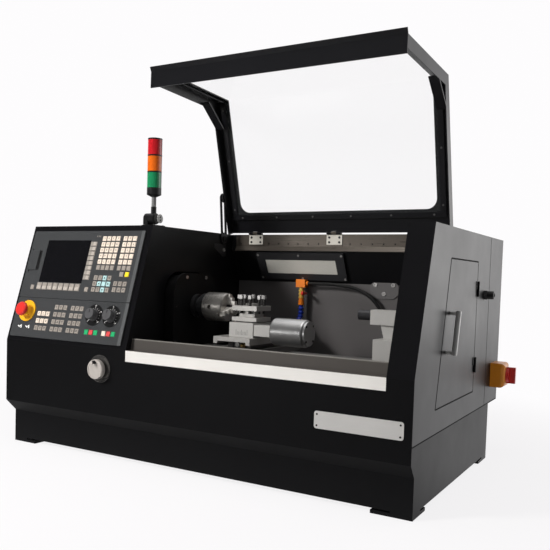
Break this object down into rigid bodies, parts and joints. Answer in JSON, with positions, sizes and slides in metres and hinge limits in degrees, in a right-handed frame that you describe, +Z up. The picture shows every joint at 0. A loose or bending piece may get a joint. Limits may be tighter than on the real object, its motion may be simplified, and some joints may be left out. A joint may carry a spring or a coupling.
{
  "type": "benchtop computer-controlled lathe",
  "caption": "Benchtop lathe under computer control in a sheet-metal cabinet, with a lift-up clear guard, sloping operator panels, signal tower, tool turret and tailstock.",
  "frame": {"origin": "centre of the bench bolts, on the floor under the machine", "axes": "+X along the spindle from the headstock to the tailstock, +Y from the operator's side to the back, +Z up"},
  "size_m": [1.2843, 0.8113, 1.0369],
  "materials": {
    "cabinet_black": "satin powder coat",
    "guard_black": "satin powder coat",
    "bright_sheet": "bright",
    "polished_steel": "ground",
    "dark_steel": "blackened",
    "cast": "painted casting",
    "pale_cast": "machined casting",
    "chrome": "polished",
    "motor_silver": "satin",
    "panel_plastic": "fine texture",
    "screen": "gloss",
    "keys": "matte",
    "stop_yellow": "gloss",
    "stop_red": "gloss",
    "black_plastic": "matte",
    "isolator_orange": "gloss",
    "lens": "clear coloured",
    "clear_sheet": "clear",
    "diffuser": "opal",
    "valve_orange": "gloss",
    "hose_blue": "satin",
    "hose_black": "matte",
    "belt_rubber": "matte"
  },
  "bodies": {
    "cabinet": {"base_plinth": "cabinet_black", "front_apron": "cabinet_black", "control_housing": "cabinet_black", "right_column": "cabinet_black", "rear_cabinet": "cabinet_black", "splash_wall": "cabinet_black", "chip_tray": "cabinet_black", "front_sill": "bright_sheet", "hinge_strip": "polished_steel", "lamp_bezel": "cabinet_black", "lamp_diffuser": "diffuser", "upper_panel": "panel_plastic", "lower_panel": "panel_plastic", "panel_screen": "screen", "panel_keys": "keys", "stop_ring": "stop_yellow", "tower_mount": "black_plastic", "isolator_box": "isolator_orange", "cable_gland": "black_plastic", "coolant_valve": "valve_orange", "coolant_nozzle": "hose_blue", "coolant_hose": "hose_black", "lathe_bed": "cast", "headstock": "cast", "spindle_bearings": "polished_steel", "drive_belt": "belt_rubber", "spindle_motor": "motor_silver", "z_motor": "motor_silver"},
    "guard": {"guard_frame": "guard_black", "guard_window": "clear_sheet"},
    "stay": {"guard_stay": "dark_steel"},
    "stop_button": {"stop_button": "stop_red"},
    "spindle_override": {"spindle_override_knob": "black_plastic"},
    "feed_override": {"feed_override_knob": "black_plastic"},
    "pulse_wheel": {"pulse_handwheel": "motor_silver"},
    "tower": {"tower_pole": "black_plastic", "tower_lenses": "lens"},
    "isolator": {"isolator_handle": "stop_red"},
    "side_door": {"side_door": "cabinet_black"},
    "socket_flap": {"socket_flap": "black_plastic"},
    "spindle": {"spindle": "polished_steel", "spindle_pulley": "motor_silver", "chuck_body": "chrome"},
    "jaw_1": {"chuck_jaw_1": "polished_steel"},
    "jaw_2": {"chuck_jaw_2": "polished_steel"},
    "jaw_3": {"chuck_jaw_3": "polished_steel"},
    "motor_pulley": {"motor_pulley": "motor_silver"},
    "carriage": {"saddle": "pale_cast", "x_motor": "motor_silver"},
    "cross_slide": {"cross_slide": "polished_steel", "turret_base": "pale_cast", "turret_motor": "motor_silver"},
    "turret": {"turret_head": "polished_steel", "turret_screws": "dark_steel"},
    "z_screw": {"z_screw": "polished_steel"},
    "x_screw": {"x_screw": "polished_steel"},
    "tailstock": {"tailstock": "pale_cast"},
    "quill": {"tail_quill": "polished_steel"},
    "tail_wheel": {"tail_handwheel": "black_plastic"},
    "coolant_lever": {"coolant_lever": "stop_red"}
  },
  "joints": [
    {"name": "guard_hinge", "type": "hinge", "parent": "cabinet", "child": "guard", "pos_m": [0.195, 0.133, 0.634], "axis": [1, 0, 0], "range_deg": [0, 74]},
    {"name": "stay_pivot", "type": "hinge", "parent": "cabinet", "child": "stay", "pos_m": [-0.158, 0.0895, 0.614], "axis": [1, 0, 0], "range_deg": [0, 90]},
    {"name": "stop_press", "type": "slide", "parent": "cabinet", "child": "stop_button", "axis": [0, 0.9567, -0.291], "range_m": [0, 0.004], "stiffness_N_per_m": 2000},
    {"name": "spindle_override_turn", "type": "hinge", "parent": "cabinet", "child": "spindle_override", "pos_m": [-0.29248, -0.33295, 0.38511], "axis": [0, -0.9567, 0.291], "range_deg": [-135, 135]},
    {"name": "feed_override_turn", "type": "hinge", "parent": "cabinet", "child": "feed_override", "pos_m": [-0.23049, -0.33295, 0.38511], "axis": [0, -0.9567, 0.291], "range_deg": [-135, 135]},
    {"name": "pulse_wheel_turn", "type": "hinge", "parent": "cabinet", "child": "pulse_wheel", "pos_m": [-0.246, -0.349, 0.245], "axis": [0, 1, 0], "continuous": true},
    {"name": "tower_fold", "type": "hinge", "parent": "cabinet", "child": "tower", "pos_m": [-0.206, -0.193, 0.652], "axis": [1, 0, 0], "range_deg": [-90, 0]},
    {"name": "isolator_turn", "type": "hinge", "parent": "cabinet", "child": "isolator", "pos_m": [0.65, 0.3665, 0.2395], "axis": [1, 0, 0], "range_deg": [0, 90]},
    {"name": "side_door_hinge", "type": "hinge", "parent": "cabinet", "child": "side_door", "pos_m": [0.6133, 0.137, 0.387], "axis": [0, 0, 1], "range_deg": [0, 110]},
    {"name": "socket_flap_hinge", "type": "hinge", "parent": "cabinet", "child": "socket_flap", "pos_m": [-0.589, -0.28324, 0.53408], "axis": [0, -0.291, -0.9567], "range_deg": [0, 90]},
    {"name": "spindle_turn", "type": "hinge", "parent": "cabinet", "child": "spindle", "pos_m": [-0.13, -0.087, 0.413], "axis": [1, 0, 0], "continuous": true},
    {"name": "jaw_1_slide", "type": "slide", "parent": "spindle", "child": "jaw_1", "axis": [0, 0, 1], "range_m": [-0.004, 0.018]},
    {"name": "jaw_2_slide", "type": "slide", "parent": "spindle", "child": "jaw_2", "axis": [0, -0.866, -0.5], "range_m": [-0.004, 0.018]},
    {"name": "jaw_3_slide", "type": "slide", "parent": "spindle", "child": "jaw_3", "axis": [0, 0.866, -0.5], "range_m": [-0.004, 0.018]},
    {"name": "motor_pulley_turn", "type": "hinge", "parent": "cabinet", "child": "motor_pulley", "pos_m": [-0.4, 0.121, 0.25], "axis": [1, 0, 0], "continuous": true},
    {"name": "carriage_slide", "type": "slide", "parent": "cabinet", "child": "carriage", "axis": [1, 0, 0], "range_m": [-0.03, 0.045]},
    {"name": "cross_slide_travel", "type": "slide", "parent": "carriage", "child": "cross_slide", "axis": [0, 1, 0], "range_m": [-0.03, 0.06]},
    {"name": "turret_index", "type": "hinge", "parent": "cross_slide", "child": "turret", "pos_m": [0.095, -0.149, 0.4], "axis": [0, 0, 1], "continuous": true},
    {"name": "z_screw_turn", "type": "hinge", "parent": "cabinet", "child": "z_screw", "pos_m": [0.09, 0.031, 0.25], "axis": [1, 0, 0], "range_deg": [-2200, 3300]},
    {"name": "x_screw_turn", "type": "hinge", "parent": "carriage", "child": "x_screw", "pos_m": [0.085, -0.049, 0.3231], "axis": [0, 1, 0], "range_deg": [-2200, 4400]},
    {"name": "tailstock_slide", "type": "slide", "parent": "cabinet", "child": "tailstock", "axis": [1, 0, 0], "range_m": [-0.075, 0]},
    {"name": "quill_slide", "type": "slide", "parent": "tailstock", "child": "quill", "axis": [1, 0, 0], "range_m": [-0.045, 0]},
    {"name": "tail_wheel_turn", "type": "hinge", "parent": "tailstock", "child": "tail_wheel", "pos_m": [0.525, -0.087, 0.413], "axis": [1, 0, 0], "range_deg": [-60, 4110]},
    {"name": "coolant_lever_turn", "type": "hinge", "parent": "cabinet", "child": "coolant_lever", "pos_m": [0.092, 0.161, 0.455], "axis": [1, 0, 0], "range_deg": [0, 90]}
  ],
  "couplings": [
    {"joint": "stay_pivot", "follows": "guard_hinge", "ratio": 1.1971},
    {"joint": "jaw_2_slide", "follows": "jaw_1_slide", "ratio": 1},
    {"joint": "jaw_3_slide", "follows": "jaw_1_slide", "ratio": 1},
    {"joint": "motor_pulley_turn", "follows": "spindle_turn", "ratio": 1.2857},
    {"joint": "z_screw_turn", "follows": "carriage_slide", "rad_per_m": 1256.6},
    {"joint": "x_screw_turn", "follows": "cross_slide_travel", "rad_per_m": 1256.6},
    {"joint": "tail_wheel_turn", "follows": "quill_slide", "rad_per_m": -1570.8}
  ]
}
